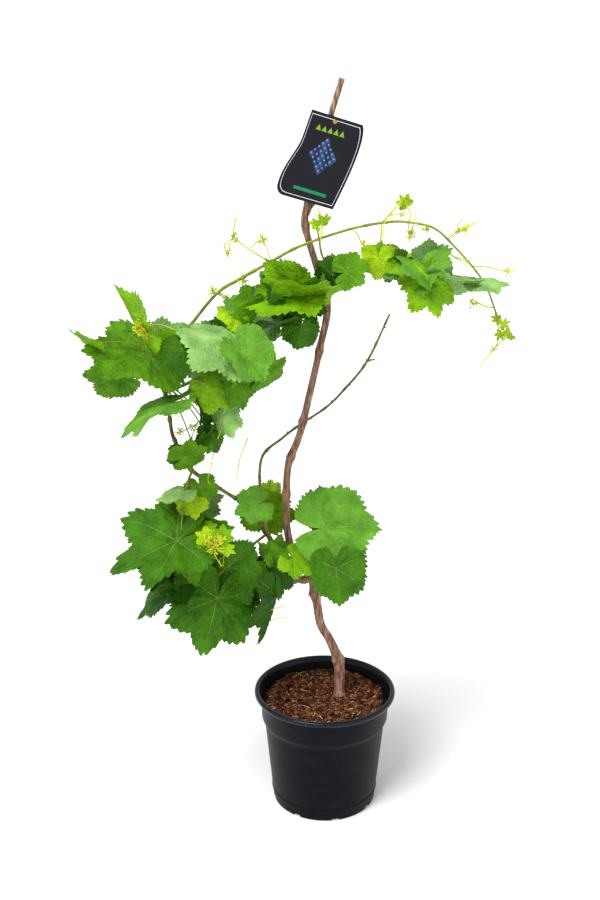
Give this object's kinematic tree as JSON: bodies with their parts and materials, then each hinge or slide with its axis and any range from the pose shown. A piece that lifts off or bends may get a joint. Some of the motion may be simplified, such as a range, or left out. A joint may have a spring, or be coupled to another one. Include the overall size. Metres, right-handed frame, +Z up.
{
  "type": "potted grapevine",
  "caption": "Young grapevine in a round nursery pot, with a leaning forked trunk, long arching canes, masses of lobed leaves, curling tendrils and a hanging label card.",
  "frame": {"origin": "centre of the pot's flat underside", "axes": "+Z up; -Y is the front, which faces the viewer; +X is the viewer's right"},
  "size_m": [0.5572, 0.2676, 1.006],
  "materials": {
    "pot_plastic": "satin black moulded plastic, with a faint sheen on its rolled rim",
    "potting_mix": "loose brown coir and bark fibre",
    "bark": "grey-brown bark with long ridges and swollen nodes",
    "cane": "smooth ripening cane, brown at its foot and olive green above",
    "young_shoot": "smooth yellow-green young growth",
    "leaf": "soft satin leaf with paler veins and underside",
    "label_card": "printed plastic card with a satin gloss",
    "label_tie": "soft plastic strap with a brass-coloured stud"
  },
  "bodies": {
    "root": {"pot": "pot_plastic", "soil": "potting_mix", "trunk": "bark", "lower_arm": "bark", "left_cane_lower": "cane", "left_cane_upper": "cane", "arch_cane": "cane", "bare_cane_lower": "cane", "bare_cane_upper": "cane", "shoot_left": "young_shoot", "shoot_middle": "young_shoot", "shoot_tip": "young_shoot", "leaves_top": "leaf", "leaves_upper_left": "leaf", "leaves_mid_left": "leaf", "leaves_upper_mid": "leaf", "leaves_upper_centre": "leaf", "leaves_upper_right": "leaf", "leaves_hanging_left": "leaf", "leaves_lower_left": "leaf", "leaves_lower_centre": "leaf", "leaves_lower_right": "leaf", "label_card": "label_card", "label_tie": "label_tie"}
  },
  "joints": []
}
